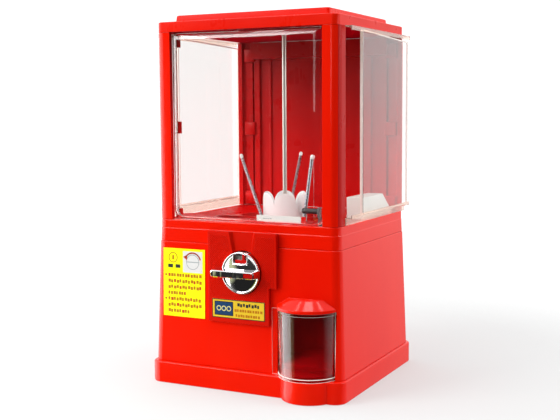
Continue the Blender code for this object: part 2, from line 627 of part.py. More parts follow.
# ---------------------------------------------------------------- chute
def drop_ramp():
    """A channel that leads a capsule from the drop hole down to the pocket."""
    upper, lower = Vector((0.0484, -0.0127)), Vector((0.1055, -0.1045))
    across = (upper - lower).orthogonal().normalized()
    if across.x < 0.0:
        across.negate()
    top, thick, half = 0.1960, 0.0020, 0.0400
    rings = []
    for middle, floor in ((upper, 0.1700), (lower, 0.1445)):
        section = [(-half, top), (-half + thick, top), (-half + thick, floor),
                   (half - thick, floor), (half - thick, top), (half, top),
                   (half, floor - thick), (-half, floor - thick)]
        rings.append([(*(middle + across * p), z) for p, z in section])
    add("drop_ramp", loft(rings), "red_inner")


def chute_pocket():
    centre = (CHUTE_X, CHUTE_Y)
    pocket = add("chute_pocket", turned([(POCKET_R, BASE_H + GAP), (POCKET_R, 0.1395)], 48, centre),
                 "red_inner")
    hollow = circle(POCKET_R - 0.002, 48, centre)
    back_y, front_y, back_z, front_z = -0.0955, -0.1805, 0.0680, 0.0410
    slope = (back_z - front_z) / (back_y - front_y)
    floor = [(x, y, front_z + (y - front_y) * slope) for x, y in hollow]
    combine(pocket, loft([floor, at_z(hollow, 0.1500)]))
    combine(pocket, box(0.050, 0.170, -0.200, -0.1475, 0.0445, 0.1500))


def chute_flap(carrier):
    """The clear curved door, with a finger fin that lies along the cabinet's front."""
    fin_back, fin_face, fin_x = -0.1530, -0.1555, 0.0525
    centre = (CHUTE_X, CHUTE_Y)

    def outline(outer_r):
        back = 180 - math.degrees(math.asin((fin_back - CHUTE_Y) / outer_r))
        face = 180 - math.degrees(math.asin((fin_face - CHUTE_Y) / outer_r))
        return (arc(centre, outer_r, 190, back, 2) + [(fin_x, fin_back), (fin_x, fin_face)]
                + arc(centre, outer_r, face, 350, 24) + arc(centre, FLAP_IN_R, 350, 190, 26))
    levels = [(FLAP_Z0, FLAP_RIM_R), (FLAP_Z0 + 0.0045, FLAP_RIM_R),
              (FLAP_Z0 + 0.0052, FLAP_OUT_R), (FLAP_Z1 - 0.0042, FLAP_OUT_R),
              (FLAP_Z1 - 0.0035, FLAP_RIM_R), (FLAP_Z1, FLAP_RIM_R)]
    add("chute_flap", loft([at_z(outline(radius), z) for z, radius in levels]), "clear", carrier)


def chute_hood():
    """The half-cone roof over the chute, with a short upright lip."""
    def half_disc(radius, z, clear):
        line = -(wall_y(z) + GAP + clear)
        dip = math.degrees(math.asin((line - CHUTE_Y) / radius))
        return at_z(arc((CHUTE_X, CHUTE_Y), radius, 180 - dip, 360 + dip, 24), z)
    thick = 0.0025
    rings = [half_disc(0.0316 - 0.001, HOOD_Z1 - thick, thick),
             half_disc(0.0480, HOOD_LIP_Z - 0.001, thick), half_disc(0.0480, HOOD_Z0, thick),
             half_disc(0.0500, HOOD_Z0, 0.0), half_disc(0.0505, HOOD_Z0 + 0.0006, 0.0),
             half_disc(0.0505, HOOD_LIP_Z, 0.0), half_disc(0.0490, HOOD_LIP_Z + 0.0010, 0.0),
             half_disc(0.0322, HOOD_Z1 - 0.0004, 0.0), half_disc(0.0312, HOOD_Z1, 0.0)]
    add("chute_hood", loft(rings), "red_body")


# ---------------------------------------------------------------- coin drawer
def coin_drawer(carrier, plug_carrier):
    front, back, thick = -0.1100, 0.1475, 0.0020
    tray_shape = box(DRAWER_X0, DRAWER_X1, front, back, DRAWER_Z0, DRAWER_Z1)
    drawer = add("drawer_tray", tray_shape, "grey_plastic", carrier)
    combine(drawer, box(DRAWER_X0 + thick, DRAWER_X1 - thick, front + thick, back - thick,
                        DRAWER_Z0 + thick, DRAWER_Z1 + 0.010))
    middle = ((DRAWER_X0 + DRAWER_X1) / 2, 0.0705)
    outline = rounded_rect(0.0680, 0.0335, 0.005, 3, middle)
    face = add("drawer_face", wall_plate(outline, 0.0030, 1), "red_body", carrier)
    lock = (middle[0], 0.0880)
    combine(face, turned([(0.0064, 0.140), (0.0064, 0.170)], 24, lock, at_y))
    grip = rounded_rect(0.0250, 0.0060, 0.0050, 3, (middle[0], 0.0600))
    combine(face, prism(grip, 0.140, 0.170, at_y))
    y = wall_y(lock[1])
    barrel = [(0.0061, y - 0.0015), (0.0061, y + 0.0048), (0.0056, y + 0.0054)]
    plug = add("drawer_lock_plug", turned(barrel, 24, lock, at_y), "chrome", plug_carrier)
    combine(plug, box(lock[0] - 0.0006, lock[0] + 0.0006, y + 0.0030, y + 0.0070,
                      lock[1] - 0.0035, lock[1] + 0.0035))


# ---------------------------------------------------------------- assembly
def build():
    clear_scene()
    dial_body = body("dial_body", (0.0, -0.1500, DIAL_Z))
    wheel_body = body("wheel_body", (0.0, 0.0, WHEEL_Z0))
    flap_body = body("flap_body", (CHUTE_X, CHUTE_Y, FLAP_Z0))
    pawl_body = body("pawl_body", (PAWL_X, (PAWL_Y0 + PAWL_Y1) / 2, PAWL_Z))
    left_body = body("left_window_body", (-SIDE_IN_X, SIDE_SHIFT, SIDE_Z0))
    right_body = body("right_window_body", (SIDE_IN_X, SIDE_SHIFT, SIDE_Z0))
    lid_body = body("lid_body", (0.0, 0.0, LID_Z))
    lid_plug = body("lid_plug_body", (0.0, 0.0, 0.5800), lid_body)
    drawer_body = body("drawer_body", ((DRAWER_X0 + DRAWER_X1) / 2, 0.1475, DRAWER_Z0))
    drawer_plug = body("drawer_plug_body", ((DRAWER_X0 + DRAWER_X1) / 2, 0.1500, 0.0880),
                       drawer_body)

    base()
    lower_cabinet()
    rear_fittings()
    hopper()
    posts()
    rear_wall()
    front_window()
    side_windows(left_body, right_body)
    rails()
    lid(lid_body, lid_plug)
    centre_rod()
    capsule_wheel(wheel_body)
    coin_plate()
    dial(dial_body)
    pawl(pawl_body)
    mechanism_housing()
    labels()
    drop_ramp()
    chute_pocket()
    chute_flap(flap_body)
    chute_hood()
    coin_drawer(drawer_body, drawer_plug)


build()
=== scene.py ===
"""The looks of the table-top capsule vending machine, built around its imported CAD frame.

Units are metres in the frame's own axes: +Z up, and the coin dial faces -Y.
"""

import math

import bmesh
import bpy
from mathutils import Matrix, Vector


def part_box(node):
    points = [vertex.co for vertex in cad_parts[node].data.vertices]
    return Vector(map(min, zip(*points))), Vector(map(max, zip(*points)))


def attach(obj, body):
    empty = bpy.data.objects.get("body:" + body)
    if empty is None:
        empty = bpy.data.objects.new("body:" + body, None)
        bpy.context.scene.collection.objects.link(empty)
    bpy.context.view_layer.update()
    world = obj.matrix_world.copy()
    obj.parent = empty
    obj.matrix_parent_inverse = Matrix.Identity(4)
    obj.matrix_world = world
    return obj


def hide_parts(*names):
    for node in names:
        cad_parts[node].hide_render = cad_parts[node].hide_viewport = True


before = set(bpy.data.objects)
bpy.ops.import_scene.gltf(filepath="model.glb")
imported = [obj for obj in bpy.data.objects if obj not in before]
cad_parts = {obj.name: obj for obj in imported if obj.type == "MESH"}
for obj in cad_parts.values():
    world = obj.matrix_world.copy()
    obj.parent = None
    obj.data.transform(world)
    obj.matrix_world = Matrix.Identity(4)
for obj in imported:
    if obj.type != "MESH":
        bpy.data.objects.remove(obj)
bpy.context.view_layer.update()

WELD = 1e-6                                   # distance that merges a seam's doubled points
SKIN = 0.00008                                # thickness of print on a label
SUNK = 0.00002                                # how far print reaches into its label
ON_PLANE = 0.0002                             # how near a face is to a rim that it lies on
ACRYLIC_IOR = 1.49
SHADE_FROM, SHADE_TO = 0.30, 0.56               # heights between which inner walls fade to a painted shade, the shade under the lid
CLIP_HEIGHTS = (0.2830, 0.4130, 0.5480)       # middles of the window clips' tabs


# ---------------------------------------------------------------- node helpers
def new_material(name):
    """A material with its node tree and its Principled shader."""
    made = bpy.data.materials.new(name)
    made.use_nodes = True
    return made, made.node_tree, made.node_tree.nodes["Principled BSDF"]


def node(tree, kind, inputs=None, **settings):
    """Add a shader node; inputs are values, or sockets to link from."""
    made = tree.nodes.new("ShaderNode" + kind)
    for name, value in settings.items():
        setattr(made, name, value)
    for key, value in (inputs or {}).items():
        if isinstance(value, bpy.types.NodeSocket):
            tree.links.new(value, made.inputs[key])
        else:
            made.inputs[key].default_value = value
    return made


def place(tree, stretch=(1.0, 1.0, 1.0)):
    """Object coordinates, optionally stretched."""
    coordinates = node(tree, "TexCoord").outputs["Object"]
    return node(tree, "Mapping", {"Vector": coordinates, "Scale": stretch}).outputs["Vector"]


def noise(tree, scale, detail=2.0, stretch=(1.0, 1.0, 1.0)):
    """Cloudy noise on object coordinates, as a factor."""
    vector = place(tree, stretch)
    made = node(tree, "TexNoise", {"Vector": vector, "Scale": scale, "Detail": detail})
    return made.outputs["Fac"]


def spread(tree, fac, low, high, start=0.3, end=0.7):
    """Map a factor's range from start to end onto low to high."""
    inputs = {"Value": fac, "From Min": start, "From Max": end, "To Min": low, "To Max": high}
    return node(tree, "MapRange", inputs).outputs["Result"]


def two_colours(tree, fac, first, second):
    """A mix of two plain colours."""
    mix = node(tree, "Mix", {"Factor": fac}, data_type="RGBA")
    mix.inputs[6].default_value = (*first, 1.0)
    mix.inputs[7].default_value = (*second, 1.0)
    return mix.outputs[2]


def bump(tree, height, strength, distance, normal=None):
    """A normal bent by a height, on top of another normal if one is given."""
    inputs = {"Height": height, "Strength": strength, "Distance": distance}
    if normal:
        inputs["Normal"] = normal
    return node(tree, "Bump", inputs).outputs["Normal"]


# ---------------------------------------------------------------- materials
def moulded(name, colour, shade, roughness, peel=0.10, shine=0.5, painted_shade_top=None, lean=None):
    """Injection-moulded plastic: faint flow marks, orange peel and fine handling scratches.

    The optional top colour is a painted shade that the part fades to towards its top, where the
    lid shades it, and lean tips its shading normals.
    """
    made, tree, shader = new_material(name)
    flow = noise(tree, 9.0, 3.0, (1.0, 1.0, 0.35))
    base = two_colours(tree, spread(tree, flow, 0.0, 1.0), colour, shade)
    # painted shade: the colour darkens towards the top, where the lid's shade falls on the inner
    # walls
    if painted_shade_top:
        height = node(tree, "SeparateXYZ", {0: place(tree)}).outputs["Z"]
        mix = node(tree, "Mix", {"Factor": spread(tree, height, 0.0, 1.0, SHADE_FROM, SHADE_TO)},
                   data_type="RGBA")
        tree.links.new(base, mix.inputs[6])
        mix.inputs[7].default_value = (*painted_shade_top, 1.0)
        base = mix.outputs[2]
    tree.links.new(base, shader.inputs["Base Color"])
    scratch = noise(tree, 260.0, 4.0, (1.0, 1.0, 0.06))
    smear = noise(tree, 24.0, 3.0)
    worn = node(tree, "Math", {0: spread(tree, scratch, 0.0, 0.05, 0.55, 0.75),
                               1: spread(tree, smear, roughness * 0.85, roughness * 1.15)},
                operation="ADD")
    tree.links.new(worn.outputs[0], shader.inputs["Roughness"])
    fine = bump(tree, noise(tree, 700.0, 2.0), peel, 0.00006)
    wavy = bump(tree, noise(tree, 38.0, 1.0), peel * 0.8, 0.0004, fine)
    if lean:
        tipped = node(tree, "VectorMath", {0: wavy, 1: lean}, operation="ADD").outputs["Vector"]
        wavy = node(tree, "VectorMath", {0: tipped}, operation="NORMALIZE").outputs["Vector"]
    tree.links.new(wavy, shader.inputs["Normal"])
    shader.inputs["Specular IOR Level"].default_value = shine
    return made


def textured(name, colour, shade, roughness, grain):
    """Plastic from a spark-eroded mould: an even fine grain."""
    made, tree, shader = new_material(name)
    flow = noise(tree, 14.0, 2.0)
    base = two_colours(tree, spread(tree, flow, 0.0, 1.0), colour, shade)
    tree.links.new(base, shader.inputs["Base Color"])
    cells = node(tree, "TexVoronoi", {"Vector": place(tree), "Scale": grain}).outputs["Distance"]
    tree.links.new(spread(tree, cells, roughness * 0.85, roughness * 1.2, 0.0, 0.8),
                   shader.inputs["Roughness"])
    tree.links.new(bump(tree, cells, 0.35, 0.0002), shader.inputs["Normal"])
    return made


def clear(name, colour, roughness):
    """Clear acrylic with faint flow waves and wiping marks."""
    made, tree, shader = new_material(name)
    shader.inputs["Base Color"].default_value = (*colour, 1.0)
    shader.inputs["Transmission Weight"].default_value = 1.0
    shader.inputs["IOR"].default_value = ACRYLIC_IOR
    marks = noise(tree, 120.0, 4.0, (1.0, 1.0, 0.15))
    tree.links.new(spread(tree, marks, roughness, roughness + 0.05, 0.55, 0.8),
                   shader.inputs["Roughness"])
    tree.links.new(bump(tree, noise(tree, 12.0, 1.0), 0.04, 0.0006), shader.inputs["Normal"])
    return made


def frosted(name, colour, roughness, transmission):
    """A cut or moulded acrylic edge: milky, because it scatters the light it carries, and pale
    partly as a painted highlight for the light it catches.
    """
    made, tree, shader = new_material(name)
    shader.inputs["IOR"].default_value = ACRYLIC_IOR
    shader.inputs["Transmission Weight"].default_value = transmission
    grain = noise(tree, 320.0, 4.0, (1.0, 1.0, 0.2))
    base = two_colours(tree, spread(tree, grain, 0.0, 1.0), colour, [c * 0.93 for c in colour])
    tree.links.new(base, shader.inputs["Base Color"])
    tree.links.new(spread(tree, grain, roughness * 0.8, roughness * 1.2),
                   shader.inputs["Roughness"])
    tree.links.new(bump(tree, grain, 0.08, 0.0002), shader.inputs["Normal"])
    return made


def metal(name, colour, shade, low, high, grain=(1.0, 1.0, 1.0), scale=180.0, dents=0.03,
          waves=0.0):
    """Bare or plated metal: its grain follows the stretch given, and waves bend reflections."""
    made, tree, shader = new_material(name)
    shader.inputs["Metallic"].default_value = 1.0
    brushed = noise(tree, scale, 4.0, grain)
    base = two_colours(tree, spread(tree, brushed, 0.0, 1.0), colour, shade)
    tree.links.new(base, shader.inputs["Base Color"])
    tree.links.new(spread(tree, brushed, low, high), shader.inputs["Roughness"])
    surface = bump(tree, brushed, dents, 0.0001)
    if waves:
        surface = bump(tree, noise(tree, 85.0, 1.0, (1.0, 0.2, 0.35)), waves, 0.0009, surface)
    tree.links.new(surface, shader.inputs["Normal"])
    return made


def rubber(name):
    """Dark rubber with a fine grit."""
    made, tree, shader = new_material(name)
    grit = noise(tree, 600.0, 4.0)
    base = two_colours(tree, spread(tree, grit, 0.0, 1.0), (0.018, 0.018, 0.02),
                       (0.05, 0.05, 0.05))
    tree.links.new(base, shader.inputs["Base Color"])
    tree.links.new(spread(tree, grit, 0.42, 0.62), shader.inputs["Roughness"])
    tree.links.new(bump(tree, grit, 0.25, 0.0002), shader.inputs["Normal"])
    return made


def printed(name, colour, shade, roughness=0.32):
    """Printed film: a fine screen of dots under a satin laminate."""
    made, tree, shader = new_material(name)
    dots = node(tree, "TexVoronoi", {"Vector": place(tree), "Scale": 1400.0}).outputs["Distance"]
    base = two_colours(tree, spread(tree, dots, 0.0, 1.0, 0.1, 0.6), colour, shade)
    tree.links.new(base, shader.inputs["Base Color"])
    film = noise(tree, 60.0, 3.0)
    tree.links.new(spread(tree, film, roughness * 0.85, roughness * 1.2),
                   shader.inputs["Roughness"])
    tree.links.new(bump(tree, film, 0.05, 0.0004), shader.inputs["Normal"])
    shader.inputs["Specular IOR Level"].default_value = 0.2
    return made


RED = moulded("red_gloss", (0.86, 0.011, 0.0005), (0.80, 0.007, 0.0003), 0.12, shine=0.24)
LID_RED = moulded("red_lid", (0.84, 0.011, 0.0005), (0.78, 0.007, 0.0003), 0.30, shine=0.10)
# Painted shade: the inner red is a darker copy of the body red for faces inside the case, where
# less light reaches, and it darkens further towards the lid.
SHADED_INNER_RED = moulded("red_inner", (0.62, 0.002, 0.002), (0.54, 0.001, 0.001), 0.30, shine=0.12,
                    painted_shade_top=(0.30, 0.0005, 0.0008))
SHADED_RED = moulded("red_shaded", (0.52, 0.006, 0.004), (0.47, 0.004, 0.003), 0.30, shine=0.08)
# Painted shade: a dark red for the lid's lining, which lies in the shade under the lid.
SHADED_CEILING_RED = moulded("red_ceiling_shaded", (0.38, 0.001, 0.008), (0.33, 0.001, 0.006), 0.5, shine=0.0)
# Painted shade: a dark red for the chute pocket, which lies in shade under the hood.
SHADED_POCKET_RED = moulded("red_pocket_shaded", (0.30, 0.001, 0.002), (0.24, 0.001, 0.002), 0.26, shine=0.0)
HOOD_RED = moulded("red_hood", (0.86, 0.011, 0.0005), (0.80, 0.007, 0.0003), 0.12, shine=0.30,
                   lean=(0.0, -0.35, 0.0))
PLATE_RED = moulded("red_plate", (0.66, 0.008, 0.0004), (0.60, 0.005, 0.0004), 0.34, 0.10,
                    shine=0.06)
INSERT_RED = moulded("red_insert", (0.72, 0.006, 0.003), (0.62, 0.004, 0.002), 0.20)
DRUM_RED = textured("red_wheel", (0.62, 0.006, 0.004), (0.52, 0.004, 0.003), 0.34, 900.0)
CLEAR = clear("clear_acrylic", (1.0, 0.988, 0.98), 0.006)
# Partly painted highlight: the edge and cream acrylics are pale and nearly opaque, standing for
# light that clear rims and walls catch, besides the frosting of cut edges.
EDGE = frosted("acrylic_edge_highlight", (1.0, 0.93, 0.90), 0.24, 0.55)
CREAM = frosted("acrylic_cream_highlight", (1.0, 0.90, 0.84), 0.24, 0.12)
WALL = frosted("acrylic_wall", (1.0, 0.95, 0.93), 0.08, 0.93)
RAIL = frosted("acrylic_rail", (1.0, 0.82, 0.72), 0.10, 0.88)
CHROME = metal("chrome_plating", (0.93, 0.93, 0.95), (0.86, 0.86, 0.88), 0.03, 0.09)
WAVY_CHROME = metal("chrome_handle", (0.93, 0.93, 0.95), (0.86, 0.86, 0.88), 0.03, 0.09, waves=0.9)
STEEL = metal("bright_steel", (0.60, 0.61, 0.62), (0.46, 0.47, 0.48), 0.22, 0.38, (1.0, 1.0, 0.05))
SPRING = metal("spring_steel", (0.56, 0.60, 0.64), (0.40, 0.44, 0.48), 0.20, 0.36, scale=420.0)
ROD = metal("rod_steel", (0.62, 0.60, 0.56), (0.50, 0.48, 0.45), 0.34, 0.48, (1.0, 1.0, 0.04))
WHITE = moulded("white_plastic", (0.93, 0.98, 0.98), (0.91, 0.96, 0.96), 0.34, 0.06)
GUIDE = moulded("guide_plastic", (0.66, 0.68, 0.64), (0.60, 0.62, 0.58), 0.40)
NYLON = textured("white_nylon", (0.80, 0.79, 0.75), (0.72, 0.71, 0.67), 0.46, 700.0)
GREY = textured("grey_plastic", (0.10, 0.10, 0.105), (0.075, 0.075, 0.08), 0.44, 800.0)
GREY_CAP = moulded("grey_cap", (0.34, 0.36, 0.38), (0.26, 0.28, 0.30), 0.34)
RUBBER = rubber("dark_rubber")
YELLOW = printed("label_yellow", (0.84, 0.60, 0.030), (0.80, 0.54, 0.024))
LEMON = printed("label_lemon", (0.92, 0.98, 0.001), (0.90, 0.95, 0.001))
INK_ORANGE = printed("ink_orange", (0.58, 0.22, 0.006), (0.50, 0.17, 0.005))
INK_GREY = printed("ink_grey", (0.30, 0.34, 0.35), (0.38, 0.42, 0.43))
INK_RED = printed("ink_red", (0.62, 0.07, 0.01), (0.55, 0.05, 0.01))
# Dark ink for print, also used as painted shade in the screws' cross recesses.
DARK_INK_AND_SHADE = printed("dark_ink_and_recess_shade", (0.016, 0.016, 0.02), (0.03, 0.03, 0.035))
INK_BLUE = printed("ink_blue", (0.010, 0.045, 0.12), (0.014, 0.055, 0.15))
INK_WHITE = printed("ink_white", (0.80, 0.80, 0.78), (0.72, 0.72, 0.71))
INK_CREAM = printed("ink_cream", (0.78, 0.72, 0.30), (0.70, 0.64, 0.26))

# The inner, ceiling and pocket reds and the shaded red are painted shade; the cream and edge
# acrylics are partly painted highlight.
NODE_MATERIALS = {
    "base_skirt": RED, "lower_cabinet": RED, "rear_hatch": RED, "hopper_collar": RED,
    "hopper_funnel": SHADED_INNER_RED, "post_front_left": RED, "post_front_right": RED,
    "post_rear_left": RED, "post_rear_right": RED, "lid": LID_RED, "chute_hood": HOOD_RED,
    "drawer_face": RED,
    "coin_plate": PLATE_RED, "capsule_wheel": DRUM_RED, "coin_slot_insert": INSERT_RED,
    "handle_insert": INSERT_RED, "hopper_floor": SHADED_INNER_RED, "rear_wall": SHADED_INNER_RED,
    "lid_liner": SHADED_CEILING_RED, "window_clip_left": SHADED_INNER_RED, "window_clip_right": SHADED_INNER_RED,
    "drop_ramp": SHADED_INNER_RED, "chute_pocket": SHADED_POCKET_RED, "front_window": CLEAR,
    "left_window": CLEAR, "right_window": CLEAR, "rail_left_lower": RAIL,
    "rail_left_upper": RAIL, "rail_right_lower": RAIL, "rail_right_upper": RAIL,
    "chute_flap": CLEAR, "coin_dial": CHROME, "dial_handle": WAVY_CHROME,
    "lid_lock_housing": CHROME,
    "drawer_lock_plug": CHROME, "centre_rod": ROD, "dial_shaft": STEEL, "ratchet_wheel": STEEL,
    "ratchet_pawl": STEEL, "pawl_pin": STEEL, "pawl_spring": SPRING, "lid_lock_plug": STEEL,
    "hub_crown": WHITE, "side_guide": GUIDE, "drive_gear": NYLON, "drive_pinion": NYLON,
    "coin_carrier": NYLON, "coin_guide": NYLON, "bottom_plate": GREY, "drawer_tray": GREY,
    "mech_housing": GREY, "wiper_bracket": GREY, "wiper_roller": RUBBER, "price_label": YELLOW,
    "caution_label": LEMON,
}
SOFT_EDGES = {                                # bevel width on carried-over CAD nodes
    "base_skirt": 0.0008, "lower_cabinet": 0.0006, "hopper_collar": 0.0006, "lid": 0.0007,
    "post_front_left": 0.0006, "post_front_right": 0.0006, "post_rear_left": 0.0006,
    "post_rear_right": 0.0006, "chute_hood": 0.0005, "rear_hatch": 0.0006,
    "drawer_face": 0.0006, "capsule_wheel": 0.0012, "chute_pocket": 0.0006, "rear_wall": 0.0006,
    "dial_handle": 0.0006, "handle_insert": 0.0003, "coin_slot_insert": 0.0004,
    "ratchet_pawl": 0.0003, "wiper_bracket": 0.0006, "mech_housing": 0.0008, "drop_ramp": 0.0004,
    "lid_lock_housing": 0.0003, "drawer_tray": 0.0005,
}


def finish_cad_node(name, material):
    """Give a shown CAD node its material, smooth round faces and softened edges."""
    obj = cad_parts[name]
    obj.data.materials.clear()
    obj.data.materials.append(material)
    for face in obj.data.polygons:
        face.use_smooth = True
    weld = obj.modifiers.new("Seams", "WELD")
    weld.merge_threshold = WELD
    width = SOFT_EDGES.get(name, 0.0)
    if width:
        soften = obj.modifiers.new("Edges", "BEVEL")
        soften.width = width
        soften.segments = 2
        soften.limit_method = "ANGLE"
        soften.angle_limit = math.radians(35.0)
        soften.use_clamp_overlap = True
    split = obj.modifiers.new("Facets", "EDGE_SPLIT")
    split.split_angle = math.radians(32.0)
    obj.modifiers.new("Shading", "WEIGHTED_NORMAL").weight = 100
    if material in (CLEAR, RAIL):
        obj.visible_shadow = False


# ---------------------------------------------------------------- mesh helpers
def piece(name, bm, material, body, smooth_angle=35.0, replaced=()):
    """A finished visual piece that rides on a CAD body."""
    bmesh.ops.remove_doubles(bm, verts=bm.verts, dist=1e-7)
    bmesh.ops.recalc_face_normals(bm, faces=bm.faces)
    mesh = bpy.data.meshes.new(name)
    bm.to_mesh(mesh)
    bm.free()
    mesh.shade_smooth()
    mesh.set_sharp_from_angle(angle=math.radians(smooth_angle))
    mesh.materials.append(material)
    obj = bpy.data.objects.new(name, mesh)
    bpy.context.scene.collection.objects.link(obj)
    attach(obj, body)
    if replaced:
        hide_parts(*replaced)
    return obj


def loft(rings, loop=False, bm=None):
    """Skin rings of equal counts: capped at both ends, or closed as a loop."""
    bm = bm or bmesh.new()
    layers = [[bm.verts.new(point) for point in ring] for ring in rings]
    pairs = list(zip(layers, layers[1:]))
    if loop:
        pairs.append((layers[-1], layers[0]))
    for low, high in pairs:
        for i in range(len(low)):
            j = (i + 1) % len(low)
            bm.faces.new((low[i], low[j], high[j], high[i]))
    if not loop:
        bm.faces.new(layers[0])
        bm.faces.new(layers[-1])
    return bm


def arc(centre, radius, start, end, steps):
    """Points on a circle in degrees, both ends included."""
    angles = [math.radians(start + (end - start) * i / steps) for i in range(steps + 1)]
    return [(centre[0] + radius * math.cos(a), centre[1] + radius * math.sin(a)) for a in angles]


def circle(radius, steps, centre=(0.0, 0.0)):
    """Points round a full circle."""
    return arc(centre, radius, 0.0, 360.0, steps)[:-1]


def rounded_rect(x0, x1, y0, y1, radius, steps=5):
    """The outline of a rectangle with round corners."""
    return (arc((x0 + radius, y0 + radius), radius, 180, 270, steps)
            + arc((x1 - radius, y0 + radius), radius, 270, 360, steps)
            + arc((x1 - radius, y1 - radius), radius, 0, 90, steps)
            + arc((x0 + radius, y1 - radius), radius, 90, 180, steps))


def at_y(points, y):
    """Flat (x, z) points set at a depth y; at_x and at_z do the same along their axes."""
    return [(x, y, z) for x, z in points]


def at_x(points, x):
    return [(x, y, z) for y, z in points]


def at_z(points, z):
    return [(x, y, z) for x, y in points]


def turned(profile, steps, centre=(0.0, 0.0), plane=at_z, loop=False, bm=None):
    """A round piece from (radius, position along the axis) pairs."""
    return loft([plane(circle(r, steps, centre), level) for r, level in profile], loop, bm)


def tube(path, radius, sides, bm=None):
    """A round wire along a list of points."""
    rings, side = [], None
    for i, point in enumerate(path):
        along = (path[min(i + 1, len(path) - 1)] - path[max(i - 1, 0)]).normalized()
        side = side or along.orthogonal()
        side = (side - along * side.dot(along)).normalized()
        other = along.cross(side)
        rings.append([point + radius * (math.cos(a) * side + math.sin(a) * other)
                      for a in (2.0 * math.pi * k / sides for k in range(sides))])
    return loft(rings, bm=bm)


def middle(node_name):
    """The middle of a CAD node's box."""
    low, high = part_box(node_name)
    return (low + high) / 2


# ---------------------------------------------------------------- agitator springs
def rod_ends(node_name):
    """The middle of a leaning rod's lowest and highest rings."""
    points = [v.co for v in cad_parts[node_name].data.vertices]
    ends = []
    for level in (min(p.z for p in points), max(p.z for p in points)):
        ring = {tuple(round(c, 6) for c in p) for p in points if abs(p.z - level) < 1e-5}
        ends.append(sum((Vector(p) for p in ring), Vector()) / len(ring))
    return ends


def agitator_spring(number, coil_radius=0.0024, wire=0.00055, pitch=0.0015, per_turn=12):
    """A close-wound spring on a core, with a steel collar at its foot and a rounded tip."""
    node_name = f"agitator_spring_{number}"
    foot, tip = rod_ends(node_name)
    axis = (tip - foot).normalized()
    length = (tip - foot).length
    side = axis.orthogonal().normalized()
    other = axis.cross(side)
    coil_start, coil_end = 0.0015, length - 0.0070
    turns = (coil_end - coil_start) / pitch
    path = []
    for i in range(int(turns * per_turn) + 1):
        a = 2.0 * math.pi * i / per_turn
        path.append(foot + axis * (coil_start + pitch * i / per_turn)
                    + coil_radius * (math.cos(a) * side + math.sin(a) * other))
    piece(f"agitator_coil_{number}", tube(path, wire, 6), SPRING, "wheel",
          replaced=(node_name,))

    def round_part(profile):
        """A part turned about the rod from (radius, distance from the foot) pairs."""
        return loft([[foot + axis * s + r * (math.cos(a) * side + math.sin(a) * other)
                      for a in (2.0 * math.pi * k / 20 for k in range(20))] for r, s in profile])
    core = [(0.0015, 0.0002), (0.0017, 0.0012), (0.0017, length - 0.0062)]
    piece(f"agitator_core_{number}", round_part(core), STEEL, "wheel")
    cap = [(0.0010, length - 0.0074), (0.0027, length - 0.0070), (0.0029, length - 0.0045),
           (0.0028, length - 0.0026), (0.0022, length - 0.0011), (0.0012, length - 0.0003),
           (0.0003, length)]
    piece(f"agitator_tip_{number}", round_part(cap), WHITE, "wheel")
    collar = [(0.0022, 0.0002), (0.0030, 0.0006), (0.0030, 0.0044), (0.0024, 0.0052)]
    piece(f"agitator_collar_{number}", round_part(collar), STEEL, "wheel")


# ---------------------------------------------------------------- crown
def crown(petals=6, steps=216):
    """A thin white cup whose edge is cut into rounded petals with a soft rim."""
    low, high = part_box("hub_crown")
    radius, thick, floor_top = (high.x - low.x) / 2, 0.0015, low.z + 0.0022
    notch_z, tip_z, lobe = low.z + 0.0238, high.z, math.radians(-63.4)

    def edge(a):
        """The cup's height at an angle."""
        u = ((a - lobe + math.pi / petals) % (2.0 * math.pi / petals)) / (math.pi / petals) - 1.0
        return notch_z + (tip_z - notch_z) * math.sqrt(max(0.0, 1.0 - abs(u) ** 2.2))

    def ring(r, drop=0.0, z=None):
        angles = [2.0 * math.pi * i / steps for i in range(steps)]
        return [(r * math.cos(a), r * math.sin(a), z if z else edge(a) - drop) for a in angles]
    rings = [ring(radius - 0.0010, z=low.z), ring(radius, z=low.z + 0.0010), ring(radius, 0.0005),
             ring(radius - 0.0003, 0.0001), ring(radius - thick / 2),
             ring(radius - thick + 0.0003, 0.0001), ring(radius - thick, 0.0005),
             ring(radius - thick, z=floor_top + 0.0015),
             ring(radius - thick - 0.0015, z=floor_top), ring(0.0060, z=floor_top),
             ring(0.0052, z=floor_top + 0.0040), ring(0.0046, z=floor_top + 0.0040),
             ring(0.0046, z=low.z)]
    piece("crown_cup", loft(rings, True), WHITE, "wheel",
          replaced=("hub_crown",))


# ---------------------------------------------------------------- faces with their own material
def repaint(name, extra, choose):
    """Give a CAD node more materials; choose(face) is the number of a face's material."""
    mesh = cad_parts[name].data
    for material in extra:
        mesh.materials.append(material)
    for face in mesh.polygons:
        face.material_index = choose(face)


def milky_highlight_edges(name):
    """Give a clear side cover a cream rim and front wall, partly frosting and partly a painted
    highlight, and faintly hazy other walls.
    """
    rim = min((v.co.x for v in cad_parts[name].data.vertices), key=abs)

    def choose(face):
        facing = abs(face.normal.x)
        if facing > 0.99 and abs(face.center.x - rim) < ON_PLANE or face.normal.y < -0.7:
            return 1
        return 2 if facing <= 0.05 else 0
    repaint(name, (CREAM, WALL), choose)


def milky_highlight_rim():
    """The front cover's rear rim gets the pale edge acrylic, partly frosting and partly a painted
    highlight, and its walls are faintly hazy.
    """
    rim = max(v.co.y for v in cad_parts["front_window"].data.vertices)

    def choose(face):
        if abs(face.center.y - rim) < ON_PLANE:
            return 1
        return 2 if abs(face.normal.y) <= 0.05 else 0
    repaint("front_window", (EDGE, WALL), choose)


